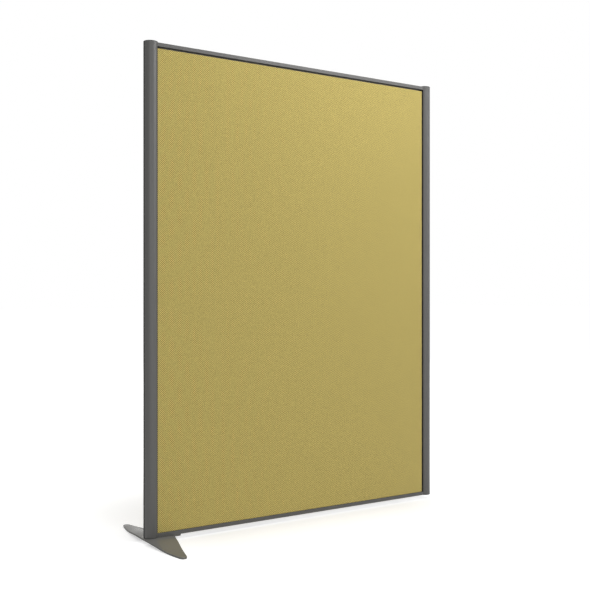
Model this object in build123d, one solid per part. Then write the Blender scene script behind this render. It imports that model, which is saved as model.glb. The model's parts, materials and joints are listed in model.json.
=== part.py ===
from build123d import *
import math
import os

os.makedirs("parts", exist_ok=True)

# Office partition element, in millimetres. X runs along the panel, the front faces -Y, Z is up.
# The origin is on the floor, midway between the two posts.

# Frame
post_pitch = 1000.0
frame_height = 1375.0

# Posts: a round extrusion, flat towards the panel, with a T-slot there and another on the outside
post_diameter = 40.0
post_wall = 2.0
slot_mouth = 10.0
slot_lip = 2.0
slot_pocket_width = 15.0
slot_pocket_depth = 5.0
inner_pocket_depth = 3.0
web_thickness = 2.0
boss_diameter = 15.0
boss_bore = 11.0

# End caps of the posts
cap_thickness = 2.0
cap_rim_chamfer = 0.5
cap_fin_width = 5.0
cap_fin_thickness = 2.0
cap_fin_length = 8.0

# Threaded bushes in the posts' lower ends
insert_length = 20.0
thread_diameter = 8.0

# Rails: a flat hollow box, as deep as the posts' flats, with two fins that enter the panel's groove
rail_depth = 27.0
rail_height = 11.0
rail_wall = 2.0
rail_edge_radius = 1.0
fin_height = 12.0
fin_thickness = 1.6
fin_spread = 9.4
fin_setback = 17.0

# Blocks that join the rails to the posts
connector_length = 55.0
connector_hook_depth = 2.4
clamp_screw_diameter = 6.0
clamp_screw_place = 10.0
clamp_socket_width = 3.0
clamp_socket_depth = 3.0

# Panel: a grooved board with felt and cloth on both faces
panel_thickness = 25.0
panel_near_gap = 0.3
panel_far_gap = 5.0
panel_bottom_gap = 0.5
panel_top_gap = 5.0
groove_width = 11.0
groove_depth = 15.0
fabric_thickness = 1.0
fabric_edge_radius = 1.0
pad_thickness = 2.5
pad_edge_chamfer = 0.8

# Strips in the posts' inner slots that enter the panel's side grooves
spline_reach = 13.0
spline_end_gap = 1.0

# Cover strips in the posts' outer slots
strip_recess = 0.6
strip_head_width = 13.0
strip_head_depth = 1.6

# Packers that stand between the bottom rail's fins and carry the board
packer_length = 60.0
packer_inset = 120.0

# Foot under the near post: a plate with level tips, pressed up in the middle to a level seat
plate_thickness = 5.0
foot_rise = 8.0
foot_seat_width = 44.0
foot_level_start = 170.0
foot_length = 400.0
foot_tip_radius = 10.0
foot_tip_forward = 7.5
foot_outer_edge = 23.3
foot_apex = 68.5

# Tongue let into the plate's inner edge, under the rail
bracket_width = 20.0
bracket_thickness = 6.0
bracket_start = 30.0
bracket_end = 89.0
bracket_end_radius = 4.0

# Countersunk screws of the foot
post_screw_head_diameter = 15.0
post_screw_head_height = 4.0
post_screw_grip = 14.0
rail_screw_diameter = 6.0
rail_screw_head_diameter = 11.4
rail_screw_head_height = 3.0
rail_screw_grip = 6.0
rail_screw_place = 50.0
screw_head_sink = 0.3
screw_socket_share = 0.55
hexagon_sides = 6

# Levelling glide of the far post
glide_disc_thickness = 5.0
glide_disc_chamfer = 1.0
glide_sink = 0.5
glide_hex_width = 13.0
glide_hex_height = 4.0
glide_stem_length = 48.0

# Clearances
fit_clearance = 0.05
slide_clearance = 0.3
hole_clearance = 0.25
cut_overrun = 1.0

# Levels and radii that follow from the sizes
post_radius = post_diameter / 2
frame_base = foot_rise + plate_thickness
frame_top = frame_base + frame_height
post_base = frame_base + cap_thickness
post_length = frame_height - cap_thickness
post_flat = math.sqrt(post_radius ** 2 - (rail_depth / 2) ** 2)
slot_front = math.sqrt(post_radius ** 2 - (slot_pocket_width / 2) ** 2) - slot_lip
slot_back = slot_front - slot_pocket_depth
inner_front = post_flat - slot_lip
inner_back = inner_front - inner_pocket_depth
panel_left = -post_pitch / 2 + post_flat + panel_near_gap
panel_right = post_pitch / 2 - post_flat - panel_far_gap
panel_base = frame_base + rail_height + panel_bottom_gap
panel_height = frame_height - 2 * rail_height - panel_bottom_gap - panel_top_gap
core_thickness = panel_thickness - 2 * (fabric_thickness + pad_thickness)
core_left = panel_left + fabric_thickness
core_right = panel_right - fabric_thickness
core_height = panel_height - 2 * fabric_thickness
thread_radius = thread_diameter / 2
hook_width = slot_pocket_width - 2 * slide_clearance
neck_width = slot_mouth - 2 * slide_clearance
chamber_width = rail_depth - 2 * rail_wall
chamber_height = rail_height - 2 * rail_wall
connector_height = chamber_height - slide_clearance
glide_pocket_radius = inner_back
glide_pocket_depth = glide_sink + glide_disc_thickness + glide_hex_height + slide_clearance
glide_disc_radius = glide_pocket_radius - 2 * hole_clearance
near_post = Location((-post_pitch / 2, 0, 0))
far_post = Location((post_pitch / 2, 0, 0))


def block(x_low, x_high, y_low, y_high, z_low, z_high):
    """A box between two corners."""
    size = (x_high - x_low, y_high - y_low, z_high - z_low)
    centre = ((x_low + x_high) / 2, (y_low + y_high) / 2, (z_low + z_high) / 2)
    return Pos(*centre) * Box(*size)


def rectangle(x_low, x_high, y_low, y_high):
    """A rectangle between two corners, as a sketch."""
    return Pos((x_low + x_high) / 2, (y_low + y_high) / 2) * Rectangle(x_high - x_low, y_high - y_low)


def rod(radius, z_low, z_high):
    """A round bar along Z."""
    return Pos(0, 0, (z_low + z_high) / 2) * Cylinder(radius, z_high - z_low)


def along_z(profile, z_low, z_high):
    """A profile carried upwards from one level to another."""
    return Pos(0, 0, z_low) * extrude(profile, z_high - z_low, dir=(0, 0, 1))


def hexagon(across_flats):
    """A hexagon by its width across flats."""
    return RegularPolygon(across_flats / 2, hexagon_sides, major_radius=False)


def save(name, solids):
    """Write one piece, or one group of like pieces, to its own file."""
    found = [solid for item in solids for solid in item.solids()]
    shape = found[0] if len(found) == 1 else Compound(children=found)
    shape.label = name
    export_step(shape, f"parts/{name}.step")


def both_ends(solid):
    """A left-hand piece and its mirrored twin at the far post."""
    return solid, mirror(solid, about=Plane.YZ)


def upside_down(solid):
    """A piece of the bottom rail, mirrored to the top rail."""
    middle = Plane.XY.offset((frame_base + frame_top) / 2)
    return mirror(solid, about=middle)


def post_outline(inset):
    """The outline of the near post, flat towards the panel, or the same line further in."""
    high = post_radius - inset
    return Circle(high) & rectangle(-high, post_flat - inset, -high, high)


def slot_casing(back):
    """The casing round the slot towards the panel, as far back as a level."""
    half = slot_pocket_width / 2 + web_thickness
    return rectangle(back - web_thickness, post_radius, -half, half)


def slot_opening(back, front):
    """A T-slot's pocket and mouth, which opens towards the panel."""
    pocket = rectangle(back, front, -slot_pocket_width / 2, slot_pocket_width / 2)
    return pocket + rectangle(front, post_radius + cut_overrun, -slot_mouth / 2, slot_mouth / 2)


def post_profile():
    """The near post's cross-section: tube, two T-slots in their casings, screw boss and ribs."""
    full = post_outline(0)
    profile = full - post_outline(post_wall)
    casings = slot_casing(inner_back) + mirror(slot_casing(slot_back), about=Plane.YZ)
    profile += casings & full
    profile += Rectangle(web_thickness, post_diameter - post_wall)
    profile += rectangle(web_thickness - slot_back, 0, -web_thickness / 2, web_thickness / 2)
    profile += Circle(boss_diameter / 2)
    profile -= slot_opening(inner_back, inner_front)
    profile -= mirror(slot_opening(slot_back, slot_front), about=Plane.YZ)
    return profile - Circle(boss_bore / 2)


def post():
    """The near post, standing on its own axis."""
    return along_z(post_profile(), post_base, post_base + post_length)


def far_post_tube():
    """The far post, with the pocket that the levelling glide winds into."""
    tube = mirror(post(), about=Plane.YZ)
    return tube - rod(glide_pocket_radius, post_base - cut_overrun, frame_base + glide_pocket_depth)


def cap_fins(level_low, level_high):
    """A cap's four flat fins, which enter the chambers of the post and lie along its wall."""
    reach = post_radius - post_wall - slide_clearance
    x_low = web_thickness / 2 + slide_clearance
    x_high = x_low + cap_fin_width
    y_high = math.sqrt(reach ** 2 - x_high ** 2)
    fins = block(x_low, x_high, y_high - cap_fin_thickness, y_high, level_low, level_high)
    fins += mirror(fins, about=Plane.YZ)
    return fins + mirror(fins, about=Plane.XZ)


def top_cap():
    """The cap that closes a post's upper end, its rim chamfered, with fins that point down."""
    disc = rod(post_radius, frame_top, frame_top + cap_thickness)
    disc = chamfer(disc.faces().sort_by(Axis.Z)[-1].edges(), cap_rim_chamfer)
    return disc + cap_fins(frame_top - cap_fin_length, frame_top)


def bottom_cap(hole_radius):
    """The near post's lower cap, flat towards the rail, with a hole in its middle."""
    disc = along_z(post_outline(0), frame_base, post_base)
    disc += cap_fins(post_base, post_base + cap_fin_length)
    return disc - rod(hole_radius, frame_base - cut_overrun, post_base + cut_overrun)


def insert(level):
    """A threaded bush, drawn with a plain bore."""
    top = level + insert_length
    bush = rod(boss_bore / 2 - fit_clearance, level, top)
    return bush - rod(thread_radius + fit_clearance, level - cut_overrun, top + cut_overrun)


def slot_strip():
    """The cover strip that is snapped into a post's outer slot, flush but for a small recess."""
    half_neck = neck_width / 2
    half_head = strip_head_width / 2
    neck = rectangle(-post_radius, -slot_front, -half_neck, half_neck)
    neck &= Circle(post_radius - strip_recess)
    head = rectangle(-slot_front, -slot_front + strip_head_depth, -half_head, half_head)
    return along_z(neck + head, post_base, post_base + post_length)


def panel_spline():
    """The strip that hooks into the near post's inner slot and enters the panel's side groove."""
    tip = post_flat + spline_reach
    head = rectangle(inner_front - connector_hook_depth, inner_front, -hook_width / 2, hook_width / 2)
    blade = rectangle(inner_front, tip, -neck_width / 2, neck_width / 2)
    low = frame_base + rail_height + spline_end_gap
    return along_z(head + blade, low, frame_top - rail_height - spline_end_gap)


def rail_box():
    """The hollow box of the bottom rail, square to the posts' flats, before any holes."""
    outer = fillet(Rectangle(rail_depth, rail_height).vertices(), rail_edge_radius)
    profile = Pos(0, frame_base + rail_height / 2) * (outer - Rectangle(chamber_width, chamber_height))
    half = post_pitch / 2 - post_flat
    return extrude(Plane.YZ.offset(-half) * profile, 2 * half, dir=(1, 0, 0))


def rail_fins():
    """The two fins of the bottom rail that stand in the panel's groove."""
    top = frame_base + rail_height
    half = post_pitch / 2 - post_flat - fin_setback
    outer = fin_spread / 2
    inner = outer - fin_thickness
    fins = block(-half, half, inner, outer, top, top + fin_height)
    return fins + block(-half, half, -outer, -inner, top, top + fin_height)


def clamp_screw_x():
    """How far a clamp screw stands from the middle of the panel."""
    return post_pitch / 2 - post_flat - clamp_screw_place


def rail(with_foot_hole):
    """A rail in the bottom rail's place."""
    shape = rail_box() + rail_fins()
    top = frame_base + rail_height
    radius = clamp_screw_diameter / 2 + fit_clearance
    hole = rod(radius, top - rail_wall - cut_overrun, top + cut_overrun)
    for side in (1, -1):
        shape -= Pos(side * clamp_screw_x(), 0, 0) * hole
    if with_foot_hole:
        radius = rail_screw_diameter / 2 + hole_clearance
        hole = rod(radius, frame_base - cut_overrun, frame_base + rail_wall + cut_overrun)
        shape -= near_post * Pos(rail_screw_place, 0, 0) * hole
    return shape


def connector(with_foot_bore):
    """The block at the near end of the bottom rail, hooked into the post's inner slot."""
    low = frame_base + rail_wall
    high = low + connector_height
    start = post_flat + slide_clearance
    half = chamber_width / 2 - slide_clearance
    body = block(start, start + connector_length, -half, half, low, high)
    body = chamfer(body.edges().filter_by(Axis.Z).group_by(Axis.X)[-1], rail_wall)
    body += block(inner_front, start, -neck_width / 2, neck_width / 2, low, high)
    hook_back = inner_front - connector_hook_depth
    body += block(hook_back, inner_front, -hook_width / 2, hook_width / 2, low, high)
    bore = rod(clamp_screw_diameter / 2 + fit_clearance, low - cut_overrun, high + cut_overrun)
    body -= Pos(post_flat + clamp_screw_place, 0, 0) * bore
    if with_foot_bore:
        bore = rod(rail_screw_diameter / 2 + fit_clearance, low - cut_overrun, high + cut_overrun)
        body -= Pos(rail_screw_place, 0, 0) * bore
    return near_post * body


def clamp_screw():
    """A grub screw with a hexagon socket that clamps a connector in its rail."""
    low = frame_base + rail_wall
    high = frame_base + rail_height - screw_head_sink
    screw = rod(clamp_screw_diameter / 2, low, high)
    screw -= along_z(hexagon(clamp_socket_width), high - clamp_socket_depth, high + cut_overrun)
    return Pos(-clamp_screw_x(), 0, 0) * screw


def fabric_cover():
    """The front cloth: a flat face with its edges turned back to the panel's groove."""
    depth = (panel_thickness - groove_width) / 2
    face = -panel_thickness / 2
    low = panel_base
    high = panel_base + panel_height
    outer = block(panel_left, panel_right, face, face + depth, low, high)
    outer = fillet(outer.faces().sort_by(Axis.Y)[0].edges(), fabric_edge_radius)
    return outer - felt_block(face + fabric_thickness, face + depth + cut_overrun)


def felt_block(face, back):
    """The space under the front cloth, from the felt's face to a given depth."""
    low = panel_base + fabric_thickness
    shape = block(core_left, core_right, face, back, low, low + core_height)
    return chamfer(shape.faces().sort_by(Axis.Y)[0].edges(), pad_edge_chamfer)


def felt_pad():
    """The thin felt between the front cloth and the board."""
    face = -panel_thickness / 2 + fabric_thickness
    return felt_block(face, face + pad_thickness)


def panel_core():
    """The board, with a groove round all four edges."""
    low = panel_base + fabric_thickness
    high = low + core_height
    board = block(core_left, core_right, -core_thickness / 2, core_thickness / 2, low, high)
    groove = groove_width / 2
    depth = groove_depth - fabric_thickness
    left = core_left - cut_overrun
    right = core_right + cut_overrun
    under = low - cut_overrun
    over = high + cut_overrun
    board -= block(left, core_left + depth, -groove, groove, under, over)
    board -= block(core_right - depth, right, -groove, groove, under, over)
    board -= block(left, right, -groove, groove, under, low + depth)
    return board - block(left, right, -groove, groove, high - depth, over)


def packers():
    """Two packers between the bottom rail's fins, from the rail up to the roof of the board's groove."""
    half = fin_spread / 2 - fin_thickness - slide_clearance
    low = frame_base + rail_height
    high = panel_base + groove_depth
    packer = block(-packer_length / 2, packer_length / 2, -half, half, low, high)
    return [Pos(x, 0, 0) * packer for x in (panel_left + packer_inset, panel_right - packer_inset)]


def foot_outline():
    """The foot plate seen from above: a shallow boomerang with rounded tips, about the post."""
    tip_x = foot_tip_forward
    tip_y = foot_length / 2 - foot_tip_radius
    gap = -foot_outer_edge - tip_x
    arc_radius = (foot_tip_radius ** 2 - gap ** 2 - tip_y ** 2) / (2 * (gap + foot_tip_radius))
    arc_centre = arc_radius - foot_outer_edge
    reach = math.hypot(arc_centre - tip_x, tip_y)
    outer_x = tip_x - foot_tip_radius * (arc_centre - tip_x) / reach
    outer_y = tip_y + foot_tip_radius * tip_y / reach
    inner_x, inner_y = tip_tangent(tip_x, tip_y, foot_apex, foot_tip_radius)
    outer = ThreePointArc((outer_x, -outer_y), (-foot_outer_edge, 0), (outer_x, outer_y))
    tip_end = (tip_x, foot_length / 2)
    far_tip = ThreePointArc((outer_x, outer_y), tip_end, (inner_x, inner_y))
    near_tip = ThreePointArc((inner_x, -inner_y), (tip_x, -foot_length / 2), (outer_x, -outer_y))
    sides = Polyline((inner_x, inner_y), (foot_apex, 0), (inner_x, -inner_y))
    return make_face(outer + far_tip + sides + near_tip)


def tip_tangent(tip_x, tip_y, apex_x, radius):
    """The point where a straight edge from the apex meets the tip's circle on its inner side."""
    span = math.hypot(apex_x - tip_x, tip_y)
    bearing = math.atan2(tip_y, tip_x - apex_x)
    swing = math.asin(radius / span)
    run = math.sqrt(span ** 2 - radius ** 2)
    direction = bearing - swing
    return apex_x + run * math.cos(direction), run * math.sin(direction)


def foot_line(level):
    """The foot's line from the middle to one tip: level seat, two bends and level tip."""
    seat = foot_seat_width / 2
    turn = (seat + foot_level_start) / 2
    halfway = level + foot_rise / 2
    line = Line((0, level + foot_rise), (seat, level + foot_rise))
    line += TangentArc((seat, level + foot_rise), (turn, halfway), tangent=(1, 0))
    line += TangentArc((foot_level_start, level), (turn, halfway), tangent=(-1, 0))
    return line + Line((foot_level_start, level), (foot_length / 2, level))


def pressed_sheet():
    """The plate's sheet before it is cut to its outline, wider than the foot."""
    middle = Line((0, foot_rise), (0, frame_base))
    end = Line((foot_length / 2, 0), (foot_length / 2, plate_thickness))
    half = make_face(foot_line(0) + end + foot_line(plate_thickness) + middle)
    start = -foot_outer_edge - cut_overrun
    sheet = extrude(Plane.YZ.offset(start) * half, foot_apex + cut_overrun - start, dir=(1, 0, 0))
    return sheet + mirror(sheet, about=Plane.XZ)


def foot_screw(shank_radius, head_radius, head_height, base, top):
    """A countersunk screw from a face's level upwards, with a hexagon socket in its head."""
    low = base + screw_head_sink
    screw = rod(shank_radius, low, top)
    screw += Pos(0, 0, low + head_height / 2) * Cone(head_radius, shank_radius, head_height)
    socket = hexagon(2 * screw_socket_share * shank_radius)
    return screw - along_z(socket, low - cut_overrun, low + screw_socket_share * head_height)


def countersunk_hole(shank_radius, head_radius, head_height, base):
    """The hole for a countersunk screw: a clear bore and a cone that is open at a face's level."""
    bore = rod(shank_radius + hole_clearance, base - cut_overrun, frame_base + cut_overrun)
    slope = (head_radius - shank_radius) / head_height
    height = screw_head_sink + head_height
    mouth_radius = shank_radius + hole_clearance + slope * height
    return bore + Pos(0, 0, base + height / 2) * Cone(mouth_radius, shank_radius + hole_clearance, height)


def foot_plate():
    """The pressed steel plate, notched for the tongue and countersunk from below for the post screw."""
    plate = along_z(foot_outline(), 0, frame_base) & pressed_sheet()
    half = bracket_width / 2
    plate -= block(bracket_start, foot_apex + cut_overrun, -half, half, 0, frame_base + cut_overrun)
    head_radius = post_screw_head_diameter / 2
    hole = countersunk_hole(thread_radius, head_radius, post_screw_head_height, foot_rise)
    return near_post * (plate - hole)


def foot_bracket():
    """The tongue in the plate's notch, which carries the rail and its screw."""
    half = bracket_width / 2
    tongue = rectangle(bracket_start, bracket_end, -half, half)
    tongue = fillet(tongue.vertices().sort_by(Axis.X)[-2:], bracket_end_radius)
    base = frame_base - bracket_thickness
    head_radius = rail_screw_head_diameter / 2
    hole = countersunk_hole(rail_screw_diameter / 2, head_radius, rail_screw_head_height, base)
    return near_post * (along_z(tongue, base, frame_base) - Pos(rail_screw_place, 0, 0) * hole)


def foot_post_screw():
    """The countersunk screw through plate and cap into the near post's bush."""
    head_radius = post_screw_head_diameter / 2
    top = post_base + post_screw_grip
    return near_post * foot_screw(thread_radius, head_radius, post_screw_head_height, foot_rise, top)


def foot_rail_screw():
    """The countersunk screw through tongue and rail into the connector."""
    head_radius = rail_screw_head_diameter / 2
    base = frame_base - bracket_thickness
    top = frame_base + rail_wall + rail_screw_grip
    screw = foot_screw(rail_screw_diameter / 2, head_radius, rail_screw_head_height, base, top)
    return near_post * Pos(rail_screw_place, 0, 0) * screw


def glide_disc():
    """The glide's foot disc, chamfered where it meets the floor."""
    low = frame_base + glide_sink
    disc = rod(glide_disc_radius, low, low + glide_disc_thickness)
    return far_post * chamfer(disc.faces().sort_by(Axis.Z)[0].edges(), glide_disc_chamfer)


def glide_stem():
    """The glide's hexagon and threaded stem, drawn plain, in the far post's bush."""
    low = frame_base + glide_sink + glide_disc_thickness
    stem = along_z(hexagon(glide_hex_width), low, low + glide_hex_height)
    return far_post * (stem + rod(thread_radius, low, low + glide_stem_length))


def build_posts():
    """Posts, caps, bushes and the strips in their slots."""
    save("left_post", [near_post * post()])
    save("right_post", [far_post * far_post_tube()])
    save("left_top_cap", [near_post * top_cap()])
    save("right_top_cap", [far_post * top_cap()])
    save("left_bottom_cap", [near_post * bottom_cap(thread_radius + hole_clearance)])
    save("right_bottom_cap", [far_post * mirror(bottom_cap(glide_pocket_radius), about=Plane.YZ)])
    save("left_post_insert", [near_post * insert(post_base)])
    save("right_post_insert", [far_post * insert(frame_base + glide_pocket_depth)])
    left, right = both_ends(near_post * slot_strip())
    save("left_slot_strip", [left])
    save("right_slot_strip", [right])
    left, right = both_ends(near_post * panel_spline())
    save("left_panel_spline", [left])
    save("right_panel_spline", [right])


def build_rails():
    """Rails, their connectors and the clamp screws."""
    save("bottom_rail", [rail(True)])
    save("top_rail", [upside_down(rail(False))])
    save("bottom_left_connector", [connector(True)])
    left, right = both_ends(connector(False))
    save("bottom_right_connector", [right])
    save("top_left_connector", [upside_down(left)])
    save("top_right_connector", [upside_down(right)])
    screws = list(both_ends(clamp_screw()))
    save("connector_clamp_screws", screws + [upside_down(screw) for screw in screws])


def build_panel():
    """The board, felt, cloth and packers."""
    save("panel_core", [panel_core()])
    save("front_pad", [felt_pad()])
    save("rear_pad", [mirror(felt_pad(), about=Plane.XZ)])
    save("front_fabric", [fabric_cover()])
    save("rear_fabric", [mirror(fabric_cover(), about=Plane.XZ)])
    save("panel_packers", packers())


def build_foot():
    """The near post's foot with its screws, and the far post's glide."""
    save("foot_plate", [foot_plate()])
    save("foot_bracket", [foot_bracket()])
    save("foot_post_screw", [foot_post_screw()])
    save("foot_rail_screw", [foot_rail_screw()])
    save("glide_disc", [glide_disc()])
    save("glide_stem", [glide_stem()])


build_posts()
build_rails()
build_panel()
build_foot()
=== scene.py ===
"""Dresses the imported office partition: cloth, felt, softened steel, finishes, light and camera."""

import json
import logging
import math
from collections.abc import Callable
from dataclasses import dataclass, field
from enum import Enum

import bmesh
import bpy
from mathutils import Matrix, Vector


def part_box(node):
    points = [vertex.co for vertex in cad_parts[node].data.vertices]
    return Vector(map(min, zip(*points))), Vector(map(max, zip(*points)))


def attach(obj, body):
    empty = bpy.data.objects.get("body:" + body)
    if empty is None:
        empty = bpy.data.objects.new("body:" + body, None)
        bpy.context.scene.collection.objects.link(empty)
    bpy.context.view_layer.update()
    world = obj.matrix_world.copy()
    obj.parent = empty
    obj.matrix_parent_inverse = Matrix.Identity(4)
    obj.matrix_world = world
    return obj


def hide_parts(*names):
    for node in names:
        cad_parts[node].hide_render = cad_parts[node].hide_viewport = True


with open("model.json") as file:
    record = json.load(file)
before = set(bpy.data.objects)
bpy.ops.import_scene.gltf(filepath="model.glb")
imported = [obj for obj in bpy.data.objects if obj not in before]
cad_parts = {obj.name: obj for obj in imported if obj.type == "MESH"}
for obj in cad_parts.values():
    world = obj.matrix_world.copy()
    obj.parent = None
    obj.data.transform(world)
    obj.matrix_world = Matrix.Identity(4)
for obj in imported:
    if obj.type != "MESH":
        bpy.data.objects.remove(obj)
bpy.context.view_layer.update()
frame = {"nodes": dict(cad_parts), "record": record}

logging.basicConfig(level=logging.INFO, format="%(levelname)s %(message)s")
log = logging.getLogger("partition")


class Body(Enum):
    """The CAD bodies that pieces ride on."""

    FRAME = "frame"
    GLIDE = "glide"


class Slot(Enum):
    """The record's material slots."""

    FRAME = "frame_aluminium"
    CAP = "cap_plastic"
    TRIM = "trim_plastic"
    FOOT = "foot_steel"
    CLOTH = "cloth"
    FELT = "felt"
    BOARD = "board"
    CASTING = "connector_casting"
    SCREW = "screw_steel"
    GLIDE = "glide_plastic"


class Side(Enum):
    """The two faces of the panel, with the direction that each looks in along Y."""

    FRONT = -1
    REAR = 1


class Wiring:
    """A shader or group tree while its nodes are placed and linked."""

    STEP = 190.0

    def __init__(self, tree: bpy.types.NodeTree) -> None:
        """Starts on an empty tree.

        Args:
            tree: The node tree to fill.
        """
        self.tree = tree
        self.placed = 0
        tree.nodes.clear()

    def add(self, kind: str, **settings: object) -> bpy.types.Node:
        """Places a node.

        Args:
            kind: The node's type name.
            settings: Properties to set on it.

        Returns:
            The new node.
        """
        node = self.tree.nodes.new(kind)
        node.location = (self.STEP * self.placed, -self.STEP * (self.placed % 3))
        self.placed += 1
        for name, value in settings.items():
            setattr(node, name, value)
        return node

    def join(self, source: bpy.types.NodeSocket, target: bpy.types.NodeSocket) -> None:
        """Links an output socket to an input socket."""
        self.tree.links.new(source, target)

    def feed(self, value: object, target: bpy.types.NodeSocket) -> None:
        """Gives an input socket a number or an output to read.

        Args:
            value: A plain value, or an output socket.
            target: The input socket.
        """
        if isinstance(value, bpy.types.NodeSocket):
            self.join(value, target)
        else:
            target.default_value = value

    def math(self, operation: str, *values: object, clamp: bool = False) -> bpy.types.NodeSocket:
        """Places a Math node.

        Args:
            operation: The node's operation.
            values: Its inputs, in order, as numbers or output sockets.
            clamp: Whether the result stays between 0 and 1.

        Returns:
            The result's socket.
        """
        node = self.add("ShaderNodeMath", operation=operation, use_clamp=clamp)
        for socket, value in zip(node.inputs, values):
            self.feed(value, socket)
        return node.outputs[0]

    def blend(self, share: object, first: object, second: object) -> bpy.types.NodeSocket:
        """Mixes two colours.

        Args:
            share: The second colour's share, as a number or a socket.
            first: The first colour.
            second: The second colour.

        Returns:
            The mixed colour's socket.
        """
        node = self.add("ShaderNodeMix", data_type="RGBA")
        self.feed(share, node.inputs["Factor"])
        self.feed(first, node.inputs[6])
        self.feed(second, node.inputs[7])
        return node.outputs[2]

    def noise(self, place: bpy.types.NodeSocket, scale: float, detail: float) -> bpy.types.NodeSocket:
        """Places a Noise Texture and returns its value's socket."""
        node = self.add("ShaderNodeTexNoise")
        self.join(place, node.inputs["Vector"])
        node.inputs["Scale"].default_value = scale
        node.inputs["Detail"].default_value = detail
        return node.outputs["Fac"]


class Effects:
    """Shader node groups that more than one finish uses."""

    CELL_SCALE = 1.7
    CELL_SHARE = 0.35
    BROAD_DETAIL = 2.0
    CLOUD_DETAIL = 4.0
    CLOUD_GAIN = 1.6
    CLOUD_DROP = -0.3
    SPECK_SCALE = 90.0
    SPECK_DETAIL = 2.0
    SPECK_GAIN = 6.0
    SPECK_DROP = -3.6
    YARN_ROUNDNESS = 0.6
    BOW_ROUNDNESS = 0.5
    BOW_SHARE = 0.55
    VALLEY_GAIN = -2.2
    VALLEY_START = 1.1
    SLUB_STEP_ACROSS = 0.83
    SLUB_STEP_ALONG = 0.71

    def __init__(self) -> None:
        """Builds every group once."""
        self.grain = self.build_grain()
        self.drift = self.build_drift()
        self.weave = self.build_weave()

    @staticmethod
    def group(
        name: str, inputs: dict[str, float | None], outputs: tuple[str, ...]
    ) -> tuple[bpy.types.NodeTree, Wiring, bpy.types.Node, bpy.types.Node]:
        """Makes a group with its sockets.

        Args:
            name: The group's name.
            inputs: Input names with their starting values, or None for a vector.
            outputs: The names of the values that it gives.

        Returns:
            The group, its wiring, its input node and its output node.
        """
        tree = bpy.data.node_groups.new(name, "ShaderNodeTree")
        wiring = Wiring(tree)
        for label, start in inputs.items():
            kind = "NodeSocketVector" if start is None else "NodeSocketFloat"
            socket = tree.interface.new_socket(name=label, in_out="INPUT", socket_type=kind)
            if start is not None:
                socket.default_value = start
        for label in outputs:
            tree.interface.new_socket(name=label, in_out="OUTPUT", socket_type="NodeSocketFloat")
        return tree, wiring, wiring.add("NodeGroupInput"), wiring.add("NodeGroupOutput")

    @staticmethod
    def scaled(wiring: Wiring, given: bpy.types.Node) -> bpy.types.NodeSocket:
        """Multiplies a group's vector by its scale."""
        node = wiring.add("ShaderNodeVectorMath", operation="SCALE")
        wiring.join(given.outputs["Vector"], node.inputs["Vector"])
        wiring.join(given.outputs["Scale"], node.inputs["Scale"])
        return node.outputs["Vector"]

    def build_grain(self) -> bpy.types.NodeTree:
        """Builds fine surface grain: orange peel, spark texture, pitting and short fibres.

        Returns:
            A group with the outputs Height and Mask.
        """
        tree, wiring, given, result = self.group(
            "FineGrain", {"Vector": None, "Scale": 600.0}, ("Height", "Mask")
        )
        place = self.scaled(wiring, given)
        broad = wiring.noise(place, 1.0, self.BROAD_DETAIL)
        cells = wiring.add("ShaderNodeTexVoronoi", feature="SMOOTH_F1")
        wiring.join(place, cells.inputs["Vector"])
        cells.inputs["Scale"].default_value = self.CELL_SCALE
        mixed = wiring.math("MULTIPLY_ADD", cells.outputs["Distance"], self.CELL_SHARE, broad)
        wiring.join(mixed, result.inputs["Height"])
        wiring.join(broad, result.inputs["Mask"])
        return tree

    def build_drift(self) -> bpy.types.NodeTree:
        """Builds slow changes over a surface: handling, dust and uneven coating.

        Returns:
            A group with the outputs Cloud and Dust, both from 0 to 1.
        """
        tree, wiring, given, result = self.group(
            "SlowDrift", {"Vector": None, "Scale": 6.0}, ("Cloud", "Dust")
        )
        place = self.scaled(wiring, given)
        cloud = wiring.noise(place, 1.0, self.CLOUD_DETAIL)
        even = wiring.math("MULTIPLY_ADD", cloud, self.CLOUD_GAIN, self.CLOUD_DROP, clamp=True)
        wiring.join(even, result.inputs["Cloud"])
        specks = wiring.noise(place, self.SPECK_SCALE, self.SPECK_DETAIL)
        dust = wiring.math("MULTIPLY_ADD", specks, self.SPECK_GAIN, self.SPECK_DROP, clamp=True)
        wiring.join(wiring.math("MULTIPLY", dust, cloud), result.inputs["Dust"])
        return tree

    @staticmethod
    def arch(wiring: Wiring, through: bpy.types.NodeSocket, roundness: float) -> bpy.types.NodeSocket:
        """Raises one arch for each whole step of a value."""
        wave = wiring.math("SINE", wiring.math("MULTIPLY", through, math.pi))
        return wiring.math("POWER", wiring.math("ABSOLUTE", wave), roundness)

    def build_weave(self) -> bpy.types.NodeTree:
        """Builds a basket weave: blocks of upright yarns and blocks of level yarns by turns.

        Returns:
            A group with the outputs Height, Upright (1 where the upright yarns lie on top),
            Valley (1 in the gaps between yarns) and Slub (a slow change along the yarns).
        """
        tree, wiring, given, result = self.group(
            "BasketWeave",
            {"Vector": None, "Block Width": 0.003, "Block Height": 0.003, "Yarns": 2.0},
            ("Height", "Upright", "Valley", "Slub"),
        )
        parts = wiring.add("ShaderNodeSeparateXYZ")
        wiring.join(given.outputs["Vector"], parts.inputs[0])
        across = wiring.math("DIVIDE", parts.outputs["X"], given.outputs["Block Width"])
        along = wiring.math("DIVIDE", parts.outputs["Y"], given.outputs["Block Height"])
        column = wiring.math("FLOOR", across)
        row = wiring.math("FLOOR", along)
        turn = wiring.math("MODULO", wiring.math("ADD", column, row), 2.0)
        upright = wiring.math("COMPARE", wiring.math("ABSOLUTE", turn), 0.0, 0.5)

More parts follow.
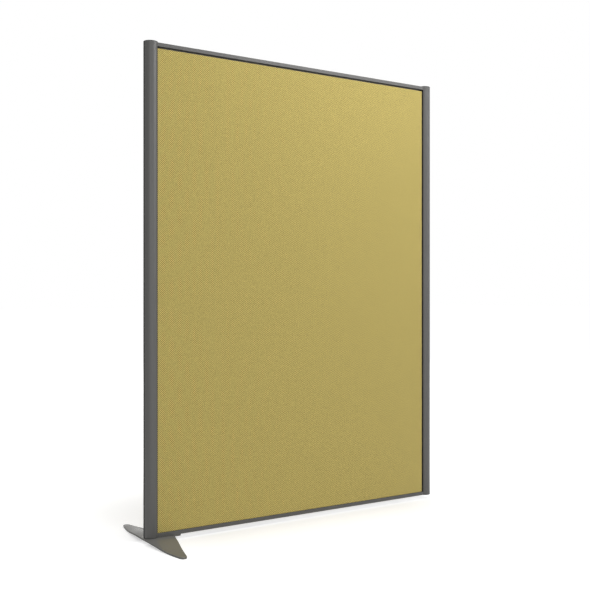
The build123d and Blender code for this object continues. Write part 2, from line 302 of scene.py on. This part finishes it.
        def yarn(through: bpy.types.NodeSocket, length: bpy.types.NodeSocket) -> bpy.types.NodeSocket:
            """Gives the height of a block's yarns, round across and bowed along."""
            count = wiring.math("MULTIPLY", through, given.outputs["Yarns"])
            ridge = self.arch(wiring, count, self.YARN_ROUNDNESS)
            bow = self.arch(wiring, length, self.BOW_ROUNDNESS)
            bow = wiring.math("MULTIPLY_ADD", bow, self.BOW_SHARE, 1.0 - self.BOW_SHARE)
            return wiring.math("MULTIPLY", ridge, bow)

        standing = wiring.math("MULTIPLY", yarn(across, along), upright)
        lying = wiring.math("MULTIPLY", yarn(along, across), wiring.math("SUBTRACT", 1.0, upright))
        height = wiring.math("ADD", standing, lying)
        wiring.join(height, result.inputs["Height"])
        wiring.join(upright, result.inputs["Upright"])
        valley = wiring.math("MULTIPLY_ADD", height, self.VALLEY_GAIN, self.VALLEY_START, clamp=True)
        wiring.join(valley, result.inputs["Valley"])
        stretched = wiring.add("ShaderNodeCombineXYZ")
        wiring.join(wiring.math("MULTIPLY", column, self.SLUB_STEP_ACROSS), stretched.inputs["X"])
        wiring.join(wiring.math("MULTIPLY", row, self.SLUB_STEP_ALONG), stretched.inputs["Y"])
        wiring.join(wiring.noise(stretched.outputs[0], 1.0, 1.0), result.inputs["Slub"])
        return tree


@dataclass(frozen=True)
class Finish:
    """What every finish has: a name, a colour and a roughness."""

    name: str
    colour: tuple[float, float, float]
    roughness: float

    def start(self) -> tuple[bpy.types.Material, Wiring, bpy.types.Node]:
        """Makes a material with one Principled shader on its output.

        Returns:
            The material, its wiring and the shader.
        """
        material = bpy.data.materials.new(self.name)
        material.use_nodes = True
        material.diffuse_color = (*self.colour, 1.0)
        wiring = Wiring(material.node_tree)
        shader = wiring.add("ShaderNodeBsdfPrincipled")
        output = wiring.add("ShaderNodeOutputMaterial")
        wiring.join(shader.outputs[0], output.inputs["Surface"])
        shader.inputs["Base Color"].default_value = (*self.colour, 1.0)
        shader.inputs["Roughness"].default_value = self.roughness
        return material, wiring, shader

    def place(self, wiring: Wiring) -> bpy.types.NodeSocket:
        """Gives the piece's own place, as a vector."""
        return wiring.add("ShaderNodeTexCoord").outputs["Object"]

    def use(self, wiring: Wiring, tree: bpy.types.NodeTree, **values: object) -> bpy.types.Node:
        """Places one of the shared effects.

        Args:
            wiring: The material's wiring.
            tree: The effect's group.
            values: Its inputs, with spaces in their names written as underscores.

        Returns:
            The group's node.
        """
        node = wiring.add("ShaderNodeGroup")
        node.node_tree = tree
        for label, value in values.items():
            wiring.feed(value, node.inputs[label.replace("_", " ")])
        return node

    def tint(self, share: float) -> tuple[float, float, float, float]:
        """Gives the finish's colour, made lighter or darker by a share."""
        return (*(min(1.0, c * share) for c in self.colour), 1.0)

    def emboss(
        self, wiring: Wiring, shader: bpy.types.Node, height: bpy.types.NodeSocket, depth: float
    ) -> None:
        """Gives the shader a fine relief.

        Args:
            wiring: The material's wiring.
            shader: The shader that shows the relief.
            height: The relief's height, about 0 to 1.
            depth: How deep it is, in metres.
        """
        bump = wiring.add("ShaderNodeBump")
        bump.inputs["Distance"].default_value = depth
        wiring.join(height, bump.inputs["Height"])
        wiring.join(bump.outputs["Normal"], shader.inputs["Normal"])


@dataclass(frozen=True)
class SatinCoat(Finish):
    """Grey coating on metal, with a faint orange peel and an even sheen.

    The faces that stand upright are darkened by the side tint: a painted shade that depends only on
    which way a face looks.
    """

    peel_scale: float = 420.0
    peel_depth: float = 0.00002
    specular: float = 0.5
    metallic: float = 0.0
    edge_tint: float = 1.0
    painted_side_shade: float = 1.0
    drift_scale: float = 5.0
    dark_tint: float = 0.96
    light_tint: float = 1.04
    dust_share: float = 0.10
    dust_colour: tuple[float, float, float, float] = (0.42, 0.41, 0.39, 1.0)
    peel_swing: float = 0.08
    cloud_swing: float = 0.05

    def material(self, effects: Effects) -> bpy.types.Material:
        """Builds the material from the shared effects."""
        material, wiring, shader = self.start()
        place = self.place(wiring)
        drift = self.use(wiring, effects.drift, Vector=place, Scale=self.drift_scale)
        grain = self.use(wiring, effects.grain, Vector=place, Scale=self.peel_scale)
        tints = self.tint(self.dark_tint), self.tint(self.light_tint)
        colour = wiring.blend(drift.outputs["Cloud"], *tints)
        dusty = wiring.math("MULTIPLY", drift.outputs["Dust"], self.dust_share)
        colour = wiring.blend(dusty, colour, self.dust_colour)
        # Painted shade: upright faces take a darker colour from their direction alone.
        if self.painted_side_shade < 1.0:
            facing = wiring.add("ShaderNodeSeparateXYZ")
            wiring.join(wiring.add("ShaderNodeTexCoord").outputs["Normal"], facing.inputs[0])
            level = wiring.math("ABSOLUTE", facing.outputs["Z"])
            colour = wiring.blend(level, self.tint(self.painted_side_shade), colour)
        wiring.join(colour, shader.inputs["Base Color"])
        base = self.roughness - self.peel_swing / 2
        rough = wiring.math("MULTIPLY_ADD", grain.outputs["Mask"], self.peel_swing, base)
        rough = wiring.math("MULTIPLY_ADD", drift.outputs["Cloud"], self.cloud_swing, rough)
        wiring.join(rough, shader.inputs["Roughness"])
        shader.inputs["Specular IOR Level"].default_value = self.specular
        shader.inputs["Metallic"].default_value = self.metallic
        shader.inputs["Specular Tint"].default_value = (self.edge_tint,) * 3 + (1.0,)
        self.emboss(wiring, shader, grain.outputs["Height"], self.peel_depth)
        return material


@dataclass(frozen=True)
class MouldedPlastic(Finish):
    """Dark moulded plastic with a fine spark texture."""

    texture_scale: float = 1100.0
    texture_depth: float = 0.00003
    drift_scale: float = 9.0
    dark_tint: float = 0.86
    light_tint: float = 1.14
    cloud_swing: float = 0.10

    def material(self, effects: Effects) -> bpy.types.Material:
        """Builds the material from the shared effects."""
        material, wiring, shader = self.start()
        place = self.place(wiring)
        drift = self.use(wiring, effects.drift, Vector=place, Scale=self.drift_scale)
        grain = self.use(wiring, effects.grain, Vector=place, Scale=self.texture_scale)
        tints = self.tint(self.dark_tint), self.tint(self.light_tint)
        wiring.join(wiring.blend(grain.outputs["Mask"], *tints), shader.inputs["Base Color"])
        base = self.roughness - self.cloud_swing / 2
        rough = wiring.math("MULTIPLY_ADD", drift.outputs["Cloud"], self.cloud_swing, base)
        wiring.join(rough, shader.inputs["Roughness"])
        self.emboss(wiring, shader, grain.outputs["Height"], self.texture_depth)
        return material


@dataclass(frozen=True)
class BareMetal(Finish):
    """Zinc-plated or cast metal."""

    scale: float = 900.0
    depth: float = 0.00002
    drift_scale: float = 14.0
    dark_tint: float = 0.85
    light_tint: float = 1.1
    grain_swing: float = 0.22
    roughness_drop: float = 0.1

    def material(self, effects: Effects) -> bpy.types.Material:
        """Builds the material from the shared effects."""
        material, wiring, shader = self.start()
        place = self.place(wiring)
        drift = self.use(wiring, effects.drift, Vector=place, Scale=self.drift_scale)
        grain = self.use(wiring, effects.grain, Vector=place, Scale=self.scale)
        tints = self.tint(self.dark_tint), self.tint(self.light_tint)
        wiring.join(wiring.blend(drift.outputs["Cloud"], *tints), shader.inputs["Base Color"])
        shader.inputs["Metallic"].default_value = 1.0
        base = self.roughness - self.roughness_drop
        rough = wiring.math("MULTIPLY_ADD", grain.outputs["Mask"], self.grain_swing, base)
        wiring.join(rough, shader.inputs["Roughness"])
        self.emboss(wiring, shader, grain.outputs["Height"], self.depth)
        return material


@dataclass(frozen=True)
class WovenCloth(Finish):
    """Basket weave of a light yarn and a darker one, read from the cloth's own flat map."""

    block_width: float = 0.00275
    block_height: float = 0.0029
    yarns: float = 2.0
    contrast: float = 0.85
    relief: float = 0.00035
    map_name: str = "flat_cut"
    drift_scale: float = 7.0
    fibre_scale: float = 2600.0
    fibre_relief: float = 0.12
    slub_gain: float = 0.5
    slub_drop: float = -0.05
    slub_tint: float = 1.12
    # Painted shade in the gaps between yarns.
    painted_valley_share: float = 0.45
    painted_valley_shade: float = 0.45
    fuzz_share: float = 0.16
    fuzz_tint: float = 1.25
    cloud_share: float = 0.06
    cloud_tint: float = 0.9
    specular: float = 0.2
    sheen: float = 0.12
    sheen_roughness: float = 0.5

    def material(self, effects: Effects) -> bpy.types.Material:
        """Builds the material from the shared effects."""
        material, wiring, shader = self.start()
        cut = wiring.add("ShaderNodeUVMap", uv_map=self.map_name).outputs["UV"]
        weave = self.use(
            wiring,
            effects.weave,
            Vector=cut,
            Block_Width=self.block_width,
            Block_Height=self.block_height,
            Yarns=self.yarns,
        )
        drift = self.use(wiring, effects.drift, Vector=cut, Scale=self.drift_scale)
        fibre = self.use(wiring, effects.grain, Vector=cut, Scale=self.fibre_scale)
        dark, light = self.tint(1.0 - self.contrast), self.tint(1.0 + self.contrast)
        yarns = wiring.blend(weave.outputs["Upright"], dark, light)
        slub = wiring.math(
            "MULTIPLY_ADD", weave.outputs["Slub"], self.slub_gain, self.slub_drop, clamp=True
        )
        yarns = wiring.blend(slub, yarns, self.tint(self.slub_tint))
        # The valley tint is painted shade in the gaps between yarns; slub, fuzz and cloud are changes
        # in the yarn's own tone.
        for socket, share, tint in (
            (weave.outputs["Valley"], self.painted_valley_share, self.painted_valley_shade),
            (fibre.outputs["Mask"], self.fuzz_share, self.fuzz_tint),
            (drift.outputs["Cloud"], self.cloud_share, self.cloud_tint),
        ):
            yarns = wiring.blend(wiring.math("MULTIPLY", socket, share), yarns, self.tint(tint))
        wiring.join(yarns, shader.inputs["Base Color"])
        shader.inputs["Specular IOR Level"].default_value = self.specular
        shader.inputs["Sheen Weight"].default_value = self.sheen
        shader.inputs["Sheen Roughness"].default_value = self.sheen_roughness
        height = wiring.math(
            "MULTIPLY_ADD", fibre.outputs["Height"], self.fibre_relief, weave.outputs["Height"]
        )
        self.emboss(wiring, shader, height, self.relief)
        return material


@dataclass(frozen=True)
class PressedFibre(Finish):
    """Needled felt or raw fibreboard: short fibres that lie every way."""

    fibre_scale: float = 500.0
    depth: float = 0.0002
    drift_scale: float = 12.0
    dark_tint: float = 0.72
    light_tint: float = 1.2
    cloud_share: float = 0.3
    cloud_tint: float = 0.85

    def material(self, effects: Effects) -> bpy.types.Material:
        """Builds the material from the shared effects."""
        material, wiring, shader = self.start()
        place = self.place(wiring)
        drift = self.use(wiring, effects.drift, Vector=place, Scale=self.drift_scale)
        fibre = self.use(wiring, effects.grain, Vector=place, Scale=self.fibre_scale)
        tints = self.tint(self.dark_tint), self.tint(self.light_tint)
        colour = wiring.blend(fibre.outputs["Mask"], *tints)
        cloud = wiring.math("MULTIPLY", drift.outputs["Cloud"], self.cloud_share)
        colour = wiring.blend(cloud, colour, self.tint(self.cloud_tint))
        wiring.join(colour, shader.inputs["Base Color"])
        self.emboss(wiring, shader, fibre.outputs["Height"], self.depth)
        return material


@dataclass
class Wardrobe:
    """The materials of the partition, one for each slot of the record."""

    effects: Effects
    made: dict[Slot, bpy.types.Material] = field(default_factory=dict)

    def fill(self) -> None:
        """Builds every material once."""
        finishes = {
            Slot.FRAME: SatinCoat(
                "frame_coat", (0.059, 0.058, 0.055), 0.42, peel_scale=520.0, specular=0.6
            ),
            Slot.FOOT: SatinCoat(
                "foot_coat",
                (0.275, 0.272, 0.258),
                0.13,
                peel_scale=380.0,
                specular=0.12,
                metallic=0.45,
                edge_tint=0.45,
                # Painted shade: the foot's upright faces are drawn darker.
                painted_side_shade=0.45,
            ),
            Slot.CAP: MouldedPlastic("cap_moulding", (0.022, 0.022, 0.021), 0.60),
            Slot.TRIM: MouldedPlastic("trim_moulding", (0.030, 0.030, 0.029), 0.80),
            Slot.GLIDE: MouldedPlastic("glide_moulding", (0.015, 0.015, 0.015), 0.40),
            Slot.CLOTH: WovenCloth("olive_cloth", (0.456, 0.366, 0.110), 0.85),
            Slot.FELT: PressedFibre("needled_felt", (0.55, 0.54, 0.50), 0.95, fibre_scale=700.0),
            Slot.BOARD: PressedFibre("fibreboard", (0.42, 0.29, 0.16), 0.80, fibre_scale=350.0),
            Slot.CASTING: BareMetal("die_casting", (0.42, 0.42, 0.43), 0.45, scale=700.0),
            Slot.SCREW: BareMetal("zinc_plate", (0.34, 0.34, 0.35), 0.42, scale=1300.0),
        }
        for slot, finish in finishes.items():
            self.made[slot] = finish.material(self.effects)

    def dress(self, piece: bpy.types.Object, slot: Slot) -> None:
        """Puts a slot's material on a piece.

        Args:
            piece: The piece to dress.
            slot: The record's slot that it takes its finish from.
        """
        if not piece.material_slots:
            piece.data.materials.append(None)
        for place in piece.material_slots:
            place.material = self.made[slot]


class Bench:
    """Steps of modelling by operators that several pieces share."""

    @staticmethod
    def clear() -> None:
        """Deselects everything, so that the next operator acts on its own piece."""
        bpy.ops.object.select_all(action="DESELECT")

    @staticmethod
    def take(piece: bpy.types.Object) -> None:
        """Selects one piece and makes it active."""
        Bench.clear()
        piece.select_set(True)
        bpy.context.view_layer.objects.active = piece

    @staticmethod
    def pick_edges(test: Callable[[bmesh.types.BMEdge], bool]) -> None:
        """Selects edges of the mesh in edit mode.

        Args:
            test: A function of an edge that says whether it is wanted.
        """
        bpy.ops.mesh.select_mode(type="EDGE")
        bpy.ops.mesh.select_all(action="DESELECT")
        shape = bmesh.from_edit_mesh(bpy.context.edit_object.data)
        for edge in [edge for edge in shape.edges if test(edge)]:
            edge.select_set(True)
        bmesh.update_edit_mesh(bpy.context.edit_object.data)

    @staticmethod
    def close_shape() -> None:
        """Turns all faces of the mesh in edit mode outwards and leaves edit mode."""
        bpy.ops.mesh.select_all(action="SELECT")
        bpy.ops.mesh.normals_make_consistent(inside=False)
        bpy.ops.object.mode_set(mode="OBJECT")

    @staticmethod
    def settle(piece: bpy.types.Object) -> None:
        """Puts the piece's place into its mesh and leaves its object at the origin."""
        Bench.take(piece)
        bpy.ops.object.transform_apply(location=True, rotation=True, scale=True)

    @staticmethod
    def finish_with(piece: bpy.types.Object, kind: str, **settings: object) -> None:
        """Adds a modifier and applies it.

        Args:
            piece: The piece to change.
            kind: The modifier's type.
            settings: Its properties.
        """
        Bench.take(piece)
        modifier = piece.modifiers.new(kind.title(), kind)
        for name, value in settings.items():
            setattr(modifier, name, value)
        bpy.ops.object.modifier_apply(modifier=modifier.name)

    @staticmethod
    def smooth(piece: bpy.types.Object, degrees: float) -> None:
        """Shades a piece smooth, with creases sharper than an angle kept."""
        Bench.take(piece)
        bpy.ops.object.shade_smooth_by_angle(angle=math.radians(degrees))


@dataclass
class PanelCloth:
    """The cloth on one face of the panel, stretched over the felt and turned back at its edges."""

    side: Side
    node: str
    thickness: float = 0.001
    edge_radius: float = 0.0018
    corner_radius: float = 0.0025
    edge_steps: int = 5
    crease_degrees: float = 35.0
    map_name: str = "flat_cut"

    def build(self) -> bpy.types.Object:
        """Models the cloth.

        Returns:
            The finished piece.
        """
        low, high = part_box(self.node)
        face = low.y if self.side is Side.FRONT else high.y
        back = high.y if self.side is Side.FRONT else low.y
        middle = (low + high) / 2
        Bench.clear()
        bpy.ops.mesh.primitive_plane_add(
            size=1.0,
            location=(middle.x, face, middle.z),
            rotation=(-self.side.value * math.pi / 2, 0.0, 0.0),
        )
        piece = bpy.context.object
        piece.name = self.node.replace("fabric", "cloth")
        piece.scale = (high.x - low.x, high.z - low.z, 1.0)
        Bench.settle(piece)
        bpy.ops.object.mode_set(mode="EDIT")
        Bench.pick_edges(lambda edge: edge.is_boundary)
        bpy.ops.mesh.extrude_edges_move(TRANSFORM_OT_translate={"value": (0.0, back - face, 0.0)})
        Bench.pick_edges(lambda edge: abs(edge.verts[0].co.y - edge.verts[1].co.y) > self.thickness)
        bpy.ops.mesh.bevel(offset=self.corner_radius, segments=self.edge_steps, affect="EDGES")
        level = self.thickness / 10
        Bench.pick_edges(lambda edge: all(abs(v.co.y - face) < level for v in edge.verts))
        bpy.ops.mesh.bevel(offset=self.edge_radius, segments=self.edge_steps, affect="EDGES")
        Bench.close_shape()
        self.face_outwards(piece)
        self.lay_flat_map(piece, low, high, face)
        Bench.finish_with(piece, "SOLIDIFY", thickness=self.thickness, offset=-1.0)
        Bench.smooth(piece, self.crease_degrees)
        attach(piece, Body.FRAME.value)
        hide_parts(self.node)
        return piece

    def face_outwards(self, piece: bpy.types.Object) -> None:
        """Turns the faces over if the broad face looks into the panel."""
        broad = max(piece.data.polygons, key=lambda polygon: polygon.area)
        if broad.normal.y * self.side.value < 0:
            piece.data.flip_normals()

    def lay_flat_map(self, piece: bpy.types.Object, low: Vector, high: Vector, face: float) -> None:
        """Unrolls the cloth to the flat cut, in metres, as the piece's own map.

        Args:
            piece: The cloth before it gets its thickness.
            low: The lowest corner of the CAD cloth.
            high: The highest corner of the CAD cloth.
            face: The level of the cloth's face along Y.
        """
        layer = piece.data.uv_layers.new(name=self.map_name)
        for loop in piece.data.loops:
            spot = piece.data.vertices[loop.vertex_index].co
            depth = abs(spot.y - face)
            to_side = min(spot.x - low.x, high.x - spot.x)
            to_end = min(spot.z - low.z, high.z - spot.z)
            x, z = spot.x, spot.z
            if to_side <= to_end:
                x += math.copysign(depth, x - (low.x + high.x) / 2)
            else:
                z += math.copysign(depth, z - (low.z + high.z) / 2)
            layer.data[loop.index].uv = (x - low.x, z - low.z)


@dataclass
class FeltPad:
    """The felt between the board and the cloth on one face."""

    side: Side
    node: str
    edge_radius: float = 0.0008
    edge_steps: int = 3
    face_level: float = 0.0002
    crease_degrees: float = 35.0

    def build(self) -> bpy.types.Object:
        """Models the felt.

        Returns:
            The finished piece.
        """
        low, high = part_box(self.node)
        middle = (low + high) / 2
        outer = low.y if self.side is Side.FRONT else high.y
        Bench.clear()
        bpy.ops.mesh.primitive_cube_add(size=1.0, location=middle)
        piece = bpy.context.object
        piece.name = self.node.replace("pad", "felt")
        piece.scale = (high.x - low.x, high.y - low.y, high.z - low.z)
        Bench.settle(piece)
        bpy.ops.object.mode_set(mode="EDIT")
        Bench.pick_edges(
            lambda edge: all(abs(v.co.y - outer) < self.face_level for v in edge.verts)
        )
        bpy.ops.mesh.bevel(offset=self.edge_radius, segments=self.edge_steps, affect="EDGES")
        Bench.close_shape()
        Bench.smooth(piece, self.crease_degrees)
        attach(piece, Body.FRAME.value)
        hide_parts(self.node)
        return piece


@dataclass
class SoftenedPart:
    """A CAD solid with its sharp edges broken, as a tumbled or moulded part has them."""

    node: str
    slot: Slot
    edge_break: float
    steps: int = 2
    sharp_degrees: float = 32.0
    smooth_degrees: float = 30.0
    flat_degrees: float = 0.5
    weld: float = 0.000005

    def build(self) -> bpy.types.Object:
        """Copies the CAD solid, joins its loose triangles and breaks its edges.

        Returns:
            The finished piece.
        """
        source = frame["nodes"][self.node]
        piece = bpy.data.objects.new(f"{self.node}_softened", source.data.copy())
        bpy.context.scene.collection.objects.link(piece)
        Bench.take(piece)
        bpy.ops.object.mode_set(mode="EDIT")
        bpy.ops.mesh.select_all(action="SELECT")
        bpy.ops.mesh.remove_doubles(threshold=self.weld)
        bpy.ops.mesh.dissolve_limited(angle_limit=math.radians(self.flat_degrees))
        bpy.ops.object.mode_set(mode="OBJECT")
        Bench.finish_with(
            piece,
            "BEVEL",
            width=self.edge_break,
            segments=self.steps,
            limit_method="ANGLE",
            angle_limit=math.radians(self.sharp_degrees),
            use_clamp_overlap=True,
        )
        Bench.smooth(piece, self.smooth_degrees)
        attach(piece, Body.FRAME.value)
        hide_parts(self.node)
        return piece


@dataclass
class Partition:
    """The whole partition: its cloth, felt, softened parts and the CAD pieces that stay."""

    wardrobe: Wardrobe
    softened: tuple[SoftenedPart, ...] = (
        SoftenedPart("foot_plate", Slot.FOOT, 0.0006),
        SoftenedPart("foot_bracket", Slot.FOOT, 0.0005),
    )

    def build(self) -> None:
        """Builds and dresses every piece in order."""
        for side, name in ((Side.FRONT, "front"), (Side.REAR, "rear")):
            felt = FeltPad(side, f"{name}_pad").build()
            self.wardrobe.dress(felt, Slot.FELT)
            self.report(felt)
            cloth = PanelCloth(side, f"{name}_fabric").build()
            self.wardrobe.dress(cloth, Slot.CLOTH)
            self.report(cloth)
        for part in self.softened:
            piece = part.build()
            self.wardrobe.dress(piece, part.slot)
            self.report(piece)
        self.dress_cad_nodes()

    def dress_cad_nodes(self) -> None:
        """Gives every CAD piece the material of its slot in the record."""
        for row in frame["record"]["subparts"]:
            node = frame["nodes"][row["node"]]
            self.wardrobe.dress(node, Slot(row["material_slot"]))
            log.info("dressed %s", node.name)

    def report(self, piece: bpy.types.Object) -> None:
        """Logs a piece with its faces."""
        log.info("built %s with %d faces", piece.name, len(piece.data.polygons))


@dataclass
class Softbox:
    """A studio lamp: a square of even light, aimed at a point."""

    name: str
    place: tuple[float, float, float]
    aim: tuple[float, float, float]
    width: float
    watts: float

    def build(self) -> None:
        """Adds the lamp to the scene."""
        data = bpy.data.lights.new(self.name, "AREA")
        data.shape = "SQUARE"
        data.size = self.width
        data.energy = self.watts
        lamp = bpy.data.objects.new(self.name, data)
        bpy.context.scene.collection.objects.link(lamp)
        lamp.location = self.place
        gaze = Vector(self.aim) - Vector(self.place)
        lamp.rotation_euler = gaze.to_track_quat("-Z", "Y").to_euler()
        lamp.visible_camera = False


@dataclass(frozen=True)
class Slope:
    """A level that changes with distance, and stays as it is on both sides."""

    near: float
    far: float
    near_level: float
    far_level: float
    form: str = "LINEAR"

    def read(self, wiring: Wiring, distance: bpy.types.NodeSocket) -> bpy.types.NodeSocket:
        """Turns a distance into its level.

        Args:
            wiring: The material's wiring.
            distance: The distance's socket.

        Returns:
            The level's socket.
        """
        node = wiring.add("ShaderNodeMapRange", interpolation_type=self.form)
        wiring.join(distance, node.inputs["Value"])
        node.inputs["From Min"].default_value = self.near
        node.inputs["From Max"].default_value = self.far
        node.inputs["To Min"].default_value = self.near_level
        node.inputs["To Max"].default_value = self.far_level
        return node.outputs["Result"]


@dataclass
class Studio:
    """Floor, surroundings, lamps and camera.

    The floor glows enough to be white, and its glow paints shade and light: round a spot at the back
    of the near post the lowered glow lets the traced shadow show and paints part of that shade; along
    the bottom rail the glow is lowered in a band, a painted shadow, and raised right under the rail, a
    painted light.
    """

    floor_size: float = 80.0
    floor_tint: float = 0.70
    # Painted shade and light on the floor: where its glow is lowered or raised.
    painted_shade_spot: tuple[float, float, float] = (-0.22, 0.33, 0.0)
    painted_shade_behind: Slope = Slope(0.05, 0.75, 0.38, 0.76, "SMOOTHSTEP")
    painted_shade_fringe: Slope = Slope(0.05, 0.56, 0.34, 0.76)
    fringe_centre: float = 0.015
    fringe_half: float = 0.315
    painted_light_underside: Slope = Slope(0.012, 0.030, 0.22, 0.0, "SMOOTHSTEP")
    room_light: float = 0.36
    camera_place: tuple[float, float, float] = (-1.5194, -2.3007, 0.6863)
    camera_turn: float = -33.07
    focal_pixels: float = 894.0
    image_pixels: float = 590.0
    sensor: float = 36.0
    lamps: tuple[Softbox, ...] = (
        Softbox("corner_softbox", (0.6, -1.0, 1.95), (0.2, 0.0, 1.1), 0.5, 6.2),
        Softbox("right_softbox", (3.6, -3.4, 2.2), (0.0, 0.0, 0.7), 2.0, 60.0),
        Softbox("front_softbox", (0.0, -5.5, 0.9), (0.0, 0.0, 0.7), 2.5, 44.0),
        Softbox("left_softbox", (-2.6, -4.0, 1.6), (-0.2, 0.0, 0.7), 1.5, 30.0),
        Softbox("top_softbox", (-0.2, -0.35, 3.4), (-0.2, -0.35, 0.0), 1.0, 36.0),
        Softbox("rear_softbox", (2.4, 4.2, 3.6), (0.0, 0.0, 0.7), 3.0, 100.0),
    )

    @staticmethod
    def seen_share(wiring: Wiring) -> bpy.types.NodeSocket:
        """A value of 1 for what the camera sees, straight, in gloss or through glass.

        Args:
            wiring: The tree that asks.

        Returns:
            The value's socket.
        """
        ray = wiring.add("ShaderNodeLightPath")
        seen = wiring.math("MAXIMUM", ray.outputs["Is Camera Ray"], ray.outputs["Is Glossy Ray"])
        return wiring.math("MAXIMUM", seen, ray.outputs["Is Transmission Ray"])

    def rail_distances(
        self, wiring: Wiring, place: bpy.types.NodeSocket
    ) -> tuple[bpy.types.NodeSocket, bpy.types.NodeSocket]:
        """Measures the floor's distance from the bottom rail.

        Args:
            wiring: The material's wiring.
            place: The floor's own place, as a vector.

        Returns:
            The distance from the line under the rail's middle part, and that from the panel's plane.
        """
        parts = wiring.add("ShaderNodeSeparateXYZ")
        wiring.join(place, parts.inputs[0])
        along = wiring.math("SUBTRACT", parts.outputs["X"], self.fringe_centre)
        past = wiring.math("SUBTRACT", wiring.math("ABSOLUTE", along), self.fringe_half)
        beyond = wiring.math("MAXIMUM", past, 0.0)
        beside = wiring.math("ABSOLUTE", parts.outputs["Y"])
        squares = wiring.math("MULTIPLY_ADD", beyond, beyond, wiring.math("MULTIPLY", beside, beside))
        return wiring.math("SQRT", squares), beside

    def build_floor(self) -> None:
        """Lays the white floor, which keeps the partition's traced soft shadow; its glow adds painted
        shade round a spot at the back of the near post and along the bottom rail, and painted light
        right under the rail.
        """
        Bench.clear()
        bpy.ops.mesh.primitive_plane_add(size=self.floor_size)
        floor = bpy.context.object
        floor.name = "studio_floor"
        material = bpy.data.materials.new("studio_white")
        material.use_nodes = True
        wiring = Wiring(material.node_tree)
        shader = wiring.add("ShaderNodeBsdfPrincipled")
        output = wiring.add("ShaderNodeOutputMaterial")
        wiring.join(shader.outputs[0], output.inputs["Surface"])
        shader.inputs["Base Color"].default_value = (self.floor_tint,) * 3 + (1.0,)
        shader.inputs["Roughness"].default_value = 1.0
        shader.inputs["Specular IOR Level"].default_value = 0.0
        shader.inputs["Emission Color"].default_value = (1.0, 1.0, 1.0, 1.0)
        place = wiring.add("ShaderNodeTexCoord").outputs["Object"]
        spot = wiring.add("ShaderNodeVectorMath", operation="DISTANCE")
        wiring.join(place, spot.inputs[0])
        spot.inputs[1].default_value = self.painted_shade_spot
        # Painted shade: the glow is lowered round the spot at the back of the near post and in a band
        # along the bottom rail.
        level = self.painted_shade_behind.read(wiring, spot.outputs["Value"])
        line, beside = self.rail_distances(wiring, place)
        # Painted light: the underside term raises the glow right under the bottom rail.
        below = wiring.math("ADD", self.painted_shade_fringe.read(wiring, line), self.painted_light_underside.read(wiring, beside))
        level = wiring.math("MINIMUM", level, below)
        glow = wiring.math("MULTIPLY", self.seen_share(wiring), level)
        wiring.join(glow, shader.inputs["Emission Strength"])
        floor.data.materials.append(material)

    def build_room(self) -> None:
        """Makes the surroundings white to the eye and plain as a light."""
        world = bpy.data.worlds.new("studio_room")
        world.use_nodes = True
        wiring = Wiring(world.node_tree)
        background = wiring.add("ShaderNodeBackground")
        output = wiring.add("ShaderNodeOutputWorld")
        wiring.join(background.outputs[0], output.inputs["Surface"])
        background.inputs["Color"].default_value = (1.0, 1.0, 1.0, 1.0)
        share = self.seen_share(wiring)
        strength = wiring.math("MULTIPLY_ADD", share, 1.0 - self.room_light, self.room_light)
        wiring.join(strength, background.inputs["Strength"])
        bpy.context.scene.world = world

    def build_camera(self) -> None:
        """Sets the camera where the photograph was taken from."""
        data = bpy.data.cameras.new("photo_camera")
        data.sensor_width = self.sensor
        data.lens = self.focal_pixels * self.sensor / self.image_pixels
        camera = bpy.data.objects.new("photo_camera", data)
        bpy.context.scene.collection.objects.link(camera)
        camera.location = self.camera_place
        camera.rotation_euler = (math.pi / 2, 0.0, math.radians(self.camera_turn))
        bpy.context.scene.camera = camera

    def build(self) -> None:
        """Builds the whole studio."""
        bpy.context.scene.view_settings.view_transform = "Standard"
        self.build_floor()
        self.build_room()
        for lamp in self.lamps:
            lamp.build()
        self.build_camera()
        log.info("studio with %d lamps", len(self.lamps))


def main() -> None:
    """Dresses the partition and sets the studio round it."""
    wardrobe = Wardrobe(Effects())
    wardrobe.fill()
    Partition(wardrobe).build()
    Studio().build()


if __name__ == "__main__":
    main()
